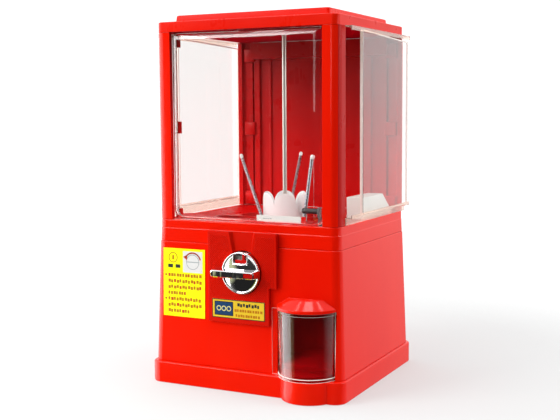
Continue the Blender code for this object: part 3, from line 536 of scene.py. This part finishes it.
def inner_faces(name):
    """A post's faces inside the case get the inner red's painted shade, and its faces to +X a
    painted shade of red.
    """
    centre = middle(name)
    inward = Vector((-centre.x, -centre.y, 0.0)).normalized()

    def choose(face):
        if face.normal.dot(inward) > 0.3:
            return 1
        return 2 if face.normal.x > 0.8 else 0
    repaint(name, (SHADED_INNER_RED, SHADED_RED), choose)


def flap_edges():
    """The flap's rims, narrow ends and the tip of its fin get the cream acrylic, partly frosting
    and partly a painted highlight where they catch the light.
    """
    points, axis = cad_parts["chute_flap"].data.vertices, middle("chute_pocket")
    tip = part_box("chute_flap")[0].x + 0.0004

    def choose(face):
        corners = [points[i].co.to_2d() for i in face.vertices]
        wide = max((a - b).length for a in corners for b in corners)
        at_tip = max(corner.x for corner in corners) < tip
        outward = Vector((face.center.x - axis.x, face.center.y - axis.y, 0.0)).normalized()
        narrow_end = wide < 0.0040 and abs(face.normal.dot(outward)) < 0.7
        return int(abs(face.normal.z) > 0.5 or narrow_end or at_tip)
    repaint("chute_flap", (CREAM,), choose)


# ---------------------------------------------------------------- small pieces of the hopper
def window_strip():
    """A white strip with a red end behind the front window's lower edge."""
    low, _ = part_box("front_window")
    y, z0, z1 = low.y + 0.0090, low.z + 0.0036, low.z + 0.0129
    strip_x, end_x, marks_x = (0.0185, 0.0950), (0.0960, 0.1035), (0.0300, 0.0450)
    strip = loft([at_y(rounded_rect(*strip_x, z0, z1, 0.0004, 2), y + d) for d in (0.0, 0.0006)])
    piece("window_strip", strip, INK_WHITE, "root")
    end = loft([at_y(rounded_rect(*end_x, z0, z1, 0.0012, 3), y + d) for d in (-0.0004, 0.0010)])
    piece("window_strip_end", end, INSERT_RED, "root")
    marks = dashes(*marks_x, z0 + 0.0036, 0.0016, 4, 7)
    piece("window_strip_print", prints(marks, lambda z: y), INK_GREY, "root")


def rear_clips():
    """Blocks on the rear posts that match the front window's clips."""
    x0, x1, reach, corner = 0.1275, 0.1495, 0.0123, 0.0015
    back_y, shoulder_y, face_y = 0.1368, 0.1335, 0.1322
    for side, across in (("left", -1), ("right", 1)):
        middle_x = across * (x0 + x1) / 2
        for number, z in enumerate(CLIP_HEIGHTS, 1):
            outline = [(across * x, height) for x, height in
                       rounded_rect(x0, x1, z - reach, z + reach, corner, 3)]
            shrunk = [(middle_x + (x - middle_x) * 0.86, z + (height - z) * 0.90)
                      for x, height in outline]
            rings = [at_y(outline, back_y), at_y(outline, shoulder_y), at_y(shrunk, face_y)]
            # the clips take the inner red's painted shade
            piece(f"rear_clip_{side}_{number}", loft(rings), SHADED_INNER_RED, "root")


# ---------------------------------------------------------------- printed labels
def prints(outlines, front, depths=(-SUNK, SKIN)):
    """Thin printed patches on a face whose Y at each height is front(z)."""
    bm = bmesh.new()
    for outline in outlines:
        loft([[(x, front(z) - depth, z) for x, z in outline] for depth in depths], bm=bm)
    return bm


def bar(x0, x1, z0, z1):
    """A plain rectangle's outline."""
    return [(x0, z0), (x1, z0), (x1, z1), (x0, z1)]


def border(x0, x1, z0, z1, width):
    """Four bars round the inside of a rectangle."""
    return [bar(x0, x1, z0, z0 + width), bar(x0, x1, z1 - width, z1),
            bar(x0, x0 + width, z0 + width, z1 - width),
            bar(x1 - width, x1, z0 + width, z1 - width)]


def label_point(name):
    """A function from fractions of a label's width and height to its X and Z."""
    low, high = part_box(name)

    def at(u, v):
        return low.x + u * (high.x - low.x), low.z + v * (high.z - low.z)
    return at


def dashes(x0, x1, z, height, count, seed):
    """A row of short bars of uneven width, standing for a printed line."""
    row, x = [], x0
    pitch = (x1 - x0) / count
    for i in range(count):
        width = pitch * (0.74 + 0.14 * math.sin(seed + 2.4 * i))
        lift = height * 0.12 * math.sin(seed * 1.7 + 3.1 * i)
        row.append(bar(x, x + width, z + lift, z + lift + height))
        x += pitch
    return row


def ring_patches(centre, radius, width, steps=28):
    """A printed ring made of quads."""
    outer, inner = arc(centre, radius, 0, 360, steps), arc(centre, radius - width, 0, 360, steps)
    return [[outer[i], outer[i + 1], inner[i + 1], inner[i]] for i in range(steps)]


def stroke(start, end, width):
    """A straight printed line as a quad."""
    along = (Vector(end) - Vector(start)).normalized() * (width / 2)
    off = Vector((-along.y, along.x))
    a, b = Vector(start), Vector(end)
    return [tuple(a - along + off), tuple(a - along - off), tuple(b + along - off),
            tuple(b + along + off)]


def polyline(points, width):
    return [stroke(a, b, width) for a, b in zip(points, points[1:])]


def price_label():
    """A dark blue box with three rings for coins, beside three rows of plain bars."""
    at, face = label_point("price_label"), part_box("price_label")[0].y

    def patch(name, outlines, material, depths=(-SUNK, SKIN)):
        piece(name, prints(outlines, lambda z: face, depths), material, "root")

    def row(u0, u1, v, height, count, seed):
        (x0, z), (x1, _) = at(u0, v), at(u1, v)
        return dashes(x0, x1, z, height, count, seed)

    (x0, z0), (x1, z1) = at(0.0, 0.0), at(1.0, 1.0)
    patch("price_border", border(x0, x1, z0, z1, 0.0011), DARK_INK_AND_SHADE)
    (x0, z0), (x1, z1) = at(0.045, 0.13), at(0.405, 0.89)
    rim, ring_x, ring_step = 0.0014, x0 + 0.0080, 0.0090
    patch("price_box_rim", border(x0, x1, z0, z1, rim), DARK_INK_AND_SHADE)
    patch("price_box", [bar(x0 + rim, x1 - rim, z0 + rim, z1 - rim)], INK_BLUE)
    coins = [quad for k in range(3)
             for quad in ring_patches((ring_x + ring_step * k, (z0 + z1) / 2), 0.0043, 0.0015)]
    patch("price_coins", coins, INK_CREAM, (SKIN * 0.9, SKIN * 2.0))
    patch("price_line_1", row(0.485, 0.915, 0.665, 0.0050, 8, 1.0), DARK_INK_AND_SHADE)
    patch("price_line_2", row(0.430, 0.965, 0.385, 0.0042, 11, 2.0)
          + row(0.450, 0.920, 0.115, 0.0042, 10, 4.0), INK_ORANGE)


def notice_label():
    """A generic notice: a ring, a picture of a capsule and plain rows of bars."""
    at = label_point("caution_label")
    low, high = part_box("caution_label")
    thick = 0.0004

    def front(z):
        """The sloping label's face at a height."""
        t = (z - low.z) / (high.z - low.z)
        return low.y + t * (high.y - thick - low.y)

    def patch(name, outlines, material, lift=0.0, depths=(-SUNK, SKIN)):
        piece(name, prints(outlines, lambda z: front(z) - lift, depths), material, "root")

    def area(u0, u1, v0, v1):
        (x0, z0), (x1, z1) = at(u0, v0), at(u1, v1)
        return bar(x0, x1, z0, z1)

    def about(centre, points):
        return [(centre[0] + x, centre[1] + z) for x, z in points]

    ring = ring_patches(at(0.235, 0.865), 0.0085, 0.0012)
    patch("notice_ring", ring + [area(0.215, 0.255, 0.835, 0.895)], INK_ORANGE)
    patch("notice_marks", [area(u, u + 0.115, 0.715, 0.765) for u in (0.115, 0.295)], DARK_INK_AND_SHADE)
    picture = area(0.475, 0.940, 0.655, 0.965)
    patch("notice_picture", [picture], INK_WHITE)
    (x0, z0), (x1, z1) = picture[0], picture[2]
    centre, shell = ((x0 + x1) / 2, (z0 + z1) / 2), 0.0118
    upper = about(centre, arc((0.0, 0.0), shell, 0, 180, 14))
    lower = [(2 * centre[0] - x, 2 * centre[1] - z) for x, z in upper]
    seam = bar(centre[0] - shell, centre[0] + shell, centre[1] - 0.0007, centre[1] + 0.0007)
    patch("notice_capsule", polyline(upper, 0.0009) + polyline(lower, 0.0009) + [seam], INK_GREY,
          SKIN)
    turn = about(centre, arc((0.0, 0.0), 0.0150, 20, 150, 14))
    patch("notice_arrow", polyline(turn, 0.0022), INK_RED, SKIN * 2)
    head = about(turn[-1], ((-0.0048, 0.0006), (0.0022, -0.0048), (0.0030, 0.0040)))
    patch("notice_arrow_head", [head], INK_RED, depths=(SKIN * 1.9, SKIN * 3.0))
    rows = [(0.930, 0.585), (0.935, 0.497), (0.935, 0.410), (0.560, 0.322), (0.915, 0.235),
            (0.930, 0.147), (0.650, 0.060)]
    start, per_width, words, bold = 0.120, 15, [], []
    for k, (end, v) in enumerate(rows):
        (x0, z), (x1, _) = at(start, v), at(end, v)
        line = dashes(x0, x1, z, 0.0050, round((end - start) * per_width), 1.3 * k)
        for i, mark in enumerate(line):
            (bold if (3 * i + k) % 7 == 0 else words).append(mark)
    patch("notice_lines", words, INK_ORANGE)
    dots = [circle(0.0017, 12, at(0.062, v)) for v in (0.607, 0.257)]
    patch("notice_lines_bold", bold + dots, INK_RED)


# ---------------------------------------------------------------- coin plate and dial
def stipple():
    """Panels of fine raised points on both sides of the coin funnel."""
    low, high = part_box("coin_plate")
    face, pitch, rise, reach = low.y, 0.0036, 0.00085, 0.00125
    side_margin, top_margin, bottom_z, dial_z = 0.0045, 0.004, 0.1520, middle("coin_dial").z
    funnel_half, funnel_z, flare = 0.0195, 0.2215, 0.0085 / 0.0365
    step_z, step_x, dial_clearance = 0.1720, 0.0440, 0.0385
    bm = bmesh.new()
    for i in range(int((high.z - top_margin - bottom_z) / (pitch / 2))):
        z = bottom_z + i * pitch / 2
        x = low.x + side_margin + (pitch / 2 if i % 2 else 0.0)
        while x < high.x - side_margin:
            off_dial = math.hypot(x, z - dial_z) > dial_clearance
            off_funnel = z < funnel_z or abs(x) > funnel_half + (z - funnel_z) * flare
            on_plate = z > step_z or x < step_x
            if off_dial and off_funnel and on_plate:
                foot = [bm.verts.new((x + reach * a, face + 0.00002, z + reach * b))
                        for a, b in ((1, 0), (0, 1), (-1, 0), (0, -1))]
                top = bm.verts.new((x, face - rise, z))
                for k in range(4):
                    bm.faces.new((foot[k], foot[(k + 1) % 4], top))
                bm.faces.new(foot[::-1])
            x += pitch
    piece("plate_stipple", bm, PLATE_RED, "root", 10.0)


class Dial:
    """The dial's measures, shared by the pieces that dress it."""
    low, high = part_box("coin_dial")
    x, z = (low.x + high.x) / 2, (low.z + high.z) / 2
    radius, edge_y, rise, steps = (high.x - low.x) / 2, low.y + 0.0008, 0.0030, 96
    face_r, slot_half, slot_z = radius - 0.0030, 0.0128, 0.2065
    slot_top = z + math.sqrt(face_r ** 2 - slot_half ** 2)

    @classmethod
    def height(cls, r):
        """The domed face's Y at a distance from the dial's middle."""
        return cls.edge_y - cls.rise * (1.0 - (r / cls.face_r) ** 2)


def dial_dome(rings=14):
    """The dial's domed chrome face, open at the slot."""
    bm = bmesh.new()
    hub, last = bm.verts.new((Dial.x, Dial.height(0.0), Dial.z)), None
    for i in range(1, rings + 1):
        r = Dial.face_r * i / rings
        ring = [bm.verts.new((x, Dial.height(r), z))
                for x, z in circle(r, Dial.steps, (Dial.x, Dial.z))]
        for k in range(Dial.steps):
            j = (k + 1) % Dial.steps
            if last:
                bm.faces.new((last[k], last[j], ring[j], ring[k]))
            else:
                bm.faces.new((hub, ring[j], ring[k]))
        last = ring
    for point, normal in (((Dial.slot_half, 0, 0), (1, 0, 0)),
                          ((-Dial.slot_half, 0, 0), (1, 0, 0)), ((0, 0, Dial.slot_z), (0, 0, 1))):
        everything = bm.verts[:] + bm.edges[:] + bm.faces[:]
        bmesh.ops.bisect_plane(bm, geom=everything, plane_co=point, plane_no=normal)
    gone = [f for f in bm.faces if abs(f.calc_center_median().x) < Dial.slot_half
            and f.calc_center_median().z > Dial.slot_z]
    bmesh.ops.delete(bm, geom=gone, context="FACES")
    dome = piece("dial_dome", bm, CHROME, "dial", 60.0)
    plate = dome.modifiers.new("Plate", "SOLIDIFY")
    plate.thickness, plate.offset = 0.0006, 0.0


def dial_bead(sides=10):
    """The rolled rim round the dial's edge."""
    centre_r, across, along = Dial.radius - 0.0016, 0.0015, 0.0013
    rings = []
    for b in (2.0 * math.pi * k / sides for k in range(sides)):
        r, y = centre_r + across * math.cos(b), Dial.low.y + 0.0004 - along * math.sin(b)
        rings.append([(Dial.x + r * math.cos(a), y, Dial.z + r * math.sin(a))
                      for a in (2.0 * math.pi * k / Dial.steps for k in range(Dial.steps))])
    piece("dial_bead", loft(rings, True), CHROME, "dial", 60.0)


def dial_slot():
    """The slot's rolled edge and the plate behind it."""
    half, base_z, top, corner = Dial.slot_half, Dial.slot_z, Dial.slot_top, 0.0040
    outline = ([(-half, top)] + arc((-half + corner, base_z + corner), corner, 180, 270, 5)
               + arc((half - corner, base_z + corner), corner, 270, 360, 5) + [(half, top)])
    path = [Vector((x, Dial.height(math.hypot(x - Dial.x, z - Dial.z)) - 0.0001, z))
            for x, z in outline]
    piece("dial_slot_rim", tube(path, 0.0009, 8), CHROME, "dial", 60.0)
    floor_y, gap = Dial.low.y + 0.0050, 0.0003
    plate = loft([at_y(bar(-half + gap, half - gap, base_z + gap, top - 0.001), y)
                  for y in (floor_y, floor_y + 0.0006)])
    piece("dial_slot_floor", plate, STEEL, "dial")


def small_metal():
    """Dark crosses on the hatch screws, a painted shade for their cross recesses, and a hub in the
    end of the roller.
    """
    arm, width = 0.0021, 0.0004
    for side in ("left", "right"):
        low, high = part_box(f"hatch_screw_{side}")
        x, z, y = (low.x + high.x) / 2, (low.z + high.z) / 2, high.y
        bm = bmesh.new()
        for a, b in ((arm, width), (width, arm)):
            loft([at_y(bar(x - a, x + a, z - b, z + b), level)
                  for level in (y - 0.0001, y + 0.00005)], bm=bm)
        # painted shade: a dark cross stands for the shade inside each screw's recess
        piece(f"hatch_screw_cross_shade_{side}", bm, DARK_INK_AND_SHADE, "root")
    low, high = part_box("wiper_roller")
    centre = ((low.y + high.y) / 2, (low.z + high.z) / 2)
    hub = [(0.0024, low.x + 0.0006), (0.0024, low.x - 0.0006), (0.0017, low.x - 0.0011)]
    piece("roller_hub", turned(hub, 24, centre, at_x), GREY_CAP, "root")


# ---------------------------------------------------------------- build
for name, material in NODE_MATERIALS.items():
    finish_cad_node(name, material)
milky_highlight_rim()
milky_highlight_edges("left_window")
milky_highlight_edges("right_window")
flap_edges()
for corner in ("front_left", "front_right", "rear_left", "rear_right"):
    inner_faces(f"post_{corner}")
repaint("rear_wall", (RED,), lambda face: int(face.normal.y > 0.5))   # outside: the plain red; the inside keeps the inner red's painted shade
for number in (1, 2, 3):
    agitator_spring(number)
crown()
window_strip()
rear_clips()
price_label()
notice_label()
stipple()
dial_dome()
dial_bead()
dial_slot()
small_metal()


# ---------------------------------------------------------------- studio
def camera():
    """The camera stands front right and looks slightly down (yaw, pitch and roll in degrees)."""
    yaw, pitch, roll = (math.radians(a) for a in (-26.63, 5.69, -0.36))
    forward = Vector((math.sin(yaw) * math.cos(pitch), math.cos(yaw) * math.cos(pitch),
                      -math.sin(pitch)))
    right = Vector((math.cos(yaw), -math.sin(yaw), 0.0))
    up = right.cross(forward)
    across = right * math.cos(roll) + up * math.sin(roll)
    up = across.cross(forward)
    data = bpy.data.cameras.new("camera")
    data.sensor_width, data.lens = 36.0, 63.30
    data.clip_start, data.clip_end = 0.05, 50.0
    obj = bpy.data.objects.new("camera", data)
    turn = Matrix((across, up, -forward)).transposed().to_4x4()
    obj.matrix_world = Matrix.Translation((0.7404, -1.4966, 0.4434)) @ turn
    bpy.context.scene.collection.objects.link(obj)
    bpy.context.scene.camera = obj


def soft_box(name, place_at, rotation, width, height, power):
    """A rectangular area lamp, in watts."""
    data = bpy.data.lights.new(name, "AREA")
    data.shape, data.size, data.size_y, data.energy = "RECTANGLE", width, height, power
    obj = bpy.data.objects.new(name, data)
    obj.location, obj.rotation_euler = place_at, rotation
    bpy.context.scene.collection.objects.link(obj)


def lamp(name, place_at, aim, width, height, power):
    """A soft box that faces a point."""
    away = (Vector(aim) - Vector(place_at)).to_track_quat("-Z", "Y").to_euler()
    soft_box(name, place_at, away, width, height, power)


def overhead(name, x, y, turn, width, depth, power):
    """A soft box that looks straight down, turned to lie across the hood's highlights."""
    soft_box(name, (x, y, 2.4), (0.0, 0.0, math.radians(turn)), width, depth, power)


def patch_of_light(tree, direction, colour, azimuth, height, start, end, light):
    """A soft patch in the dark part of the room, which the chrome picks up.

    azimuth is in degrees; start and end are the cosines of the patch's outer and inner edges.
    """
    a = math.radians(azimuth)
    towards = Vector((math.cos(a), math.sin(a), height)).normalized()
    near = node(tree, "VectorMath", {0: direction, 1: towards}, operation="DOT_PRODUCT")
    mix = node(tree, "Mix", {"Factor": spread(tree, near.outputs["Value"], 0.0, 1.0, start, end)},
               data_type="RGBA")
    tree.links.new(colour, mix.inputs[6])
    mix.inputs[7].default_value = (*light, 1.0)
    return mix.outputs[2]


def studio_world():
    """White behind the object; surfaces see a room that is dark in front of the machine."""
    world = bpy.data.worlds.new("studio")
    world.use_nodes = True
    tree = world.node_tree
    tree.nodes.clear()
    direction = node(tree, "TexCoord").outputs["Generated"]
    ahead = node(tree, "VectorMath", {0: direction, 1: (0.316, -0.949, 0.0)},
                 operation="DOT_PRODUCT").outputs["Value"]
    sideways = spread(tree, ahead, 0.90, 0.03, 0.05, 0.50)
    up = node(tree, "SeparateXYZ", {0: direction}).outputs["Z"]
    height = spread(tree, up, 0.55, 1.35, -0.25, 0.05)
    ceiling = spread(tree, up, 0.0, 0.35, 0.05, 0.45)
    level = node(tree, "Math", {0: sideways, 1: height}, operation="MULTIPLY").outputs[0]
    level = node(tree, "Math", {0: level, 1: ceiling}, operation="MAXIMUM").outputs[0]
    grey = node(tree, "CombineColor", {0: level, 1: level, 2: level}).outputs["Color"]
    grey = patch_of_light(tree, direction, grey, -138.0, -0.10, 0.960, 0.985, (0.56, 0.60, 0.36))
    grey = patch_of_light(tree, direction, grey, -80.0, -0.75, 0.930, 0.960, (0.36, 0.46, 0.07))
    room = node(tree, "Background", {"Color": grey, "Strength": 1.0})
    back = node(tree, "Background", {"Color": (1.0, 1.0, 1.0, 1.0), "Strength": 1.16})
    path = node(tree, "LightPath").outputs    # white is seen directly or through the covers only
    bounced = node(tree, "Math", {0: path["Diffuse Depth"], 1: path["Glossy Depth"]},
                   operation="ADD").outputs[0]
    straight = node(tree, "Math", {0: bounced, 1: 0.5}, operation="LESS_THAN").outputs[0]
    direct = node(tree, "Math", {0: path["Is Camera Ray"], 1: path["Is Transmission Ray"]},
                  operation="MAXIMUM").outputs[0]
    seen = node(tree, "Math", {0: straight, 1: direct}, operation="MULTIPLY").outputs[0]
    mix = node(tree, "MixShader", {0: seen, 1: room.outputs[0], 2: back.outputs[0]})
    out = node(tree, "OutputWorld", {"Surface": mix.outputs[0]})
    out.is_active_output = True
    bpy.context.scene.world = world


def floor():
    """A pale round floor that fades out at its edge."""
    bm = bmesh.new()
    bmesh.ops.create_circle(bm, cap_ends=True, radius=1.15, segments=96)
    mesh = bpy.data.meshes.new("floor")
    bm.to_mesh(mesh)
    bm.free()
    obj = bpy.data.objects.new("floor", mesh)
    obj.location.z = -0.0002
    obj.visible_glossy = obj.visible_transmission = False
    bpy.context.scene.collection.objects.link(obj)
    made, tree, shader = new_material("floor")
    shader.inputs["Base Color"].default_value = (0.36, 0.37, 0.37, 1.0)
    shader.inputs["Emission Color"].default_value = (1.0, 1.0, 1.0, 1.0)
    shader.inputs["Emission Strength"].default_value = 0.42
    shader.inputs["Roughness"].default_value = 0.9
    shader.inputs["Specular IOR Level"].default_value = 0.0
    away = node(tree, "VectorMath", {0: place(tree)}, operation="LENGTH").outputs["Value"]
    fade = spread(tree, away, 0.0, 1.0, 0.55, 1.10)
    nothing = node(tree, "BsdfTransparent")
    mix = node(tree, "MixShader", {0: fade, 1: shader.outputs[0], 2: nothing.outputs[0]})
    tree.links.new(mix.outputs[0], tree.nodes["Material Output"].inputs["Surface"])
    mesh.materials.append(made)


camera()
studio_world()
floor()
lamp("key", (-1.5, -1.9, 1.9), (0.0, 0.0, 0.30), 1.3, 1.3, 40.0)
lamp("left", (-0.95, -0.40, 0.25), (0.1, -0.15, 0.15), 1.2, 1.2, 12.0)
lamp("front", (-0.2, -2.6, 1.2), (0.0, 0.0, 0.30), 0.5, 1.6, 6.0)
lamp("right", (2.3, 0.5, 1.1), (0.0, 0.0, 0.30), 1.4, 1.6, 24.0)
overhead("strip_left", -0.95, -0.75, -8.0, 0.13, 0.5, 1.6)
overhead("strip_middle", -0.215, -0.71, 17.5, 0.60, 0.5, 7.0)
overhead("strip_right", 0.41, -0.37, 45.0, 0.13, 0.5, 1.6)
bpy.context.scene.view_settings.view_transform = "Standard"
